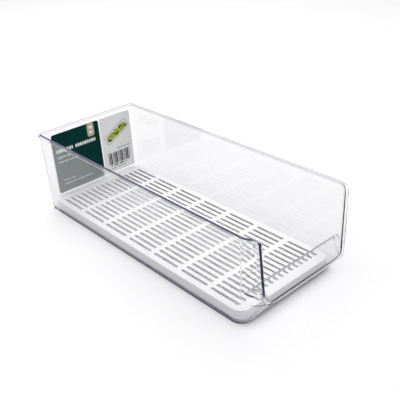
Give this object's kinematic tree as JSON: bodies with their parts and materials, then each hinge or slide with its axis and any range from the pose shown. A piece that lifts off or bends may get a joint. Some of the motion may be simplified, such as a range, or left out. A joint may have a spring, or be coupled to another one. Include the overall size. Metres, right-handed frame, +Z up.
{
  "type": "fridge bin",
  "caption": "Clear open-front storage bin for a fridge shelf, with a white slotted drain tray that lifts out and two stickers inside the back wall.",
  "frame": {"origin": "on the surface the bin stands on, under the middle of its overall footprint", "axes": "+Z up; the open front faces -Y and the back wall is at +Y; +X is to the right when the bin is seen from its open front's side looking along +Y"},
  "size_m": [0.1524, 0.3848, 0.107],
  "materials": {
    "clear_plastic": "clear, polished moulding with darker edges",
    "white_plastic": "satin white moulding",
    "green_sticker": "smooth printed sticker, dark green",
    "grey_sticker": "smooth printed sticker, light grey"
  },
  "bodies": {
    "bin": {"clear_bin": "clear_plastic", "green_label": "green_sticker", "grey_label": "grey_sticker"},
    "tray": {"drain_tray": "white_plastic"}
  },
  "joints": [
    {"name": "tray_lift", "type": "slide", "parent": "bin", "child": "tray", "axis": [0, 0, 1], "range_m": [0, 0.125]}
  ]
}
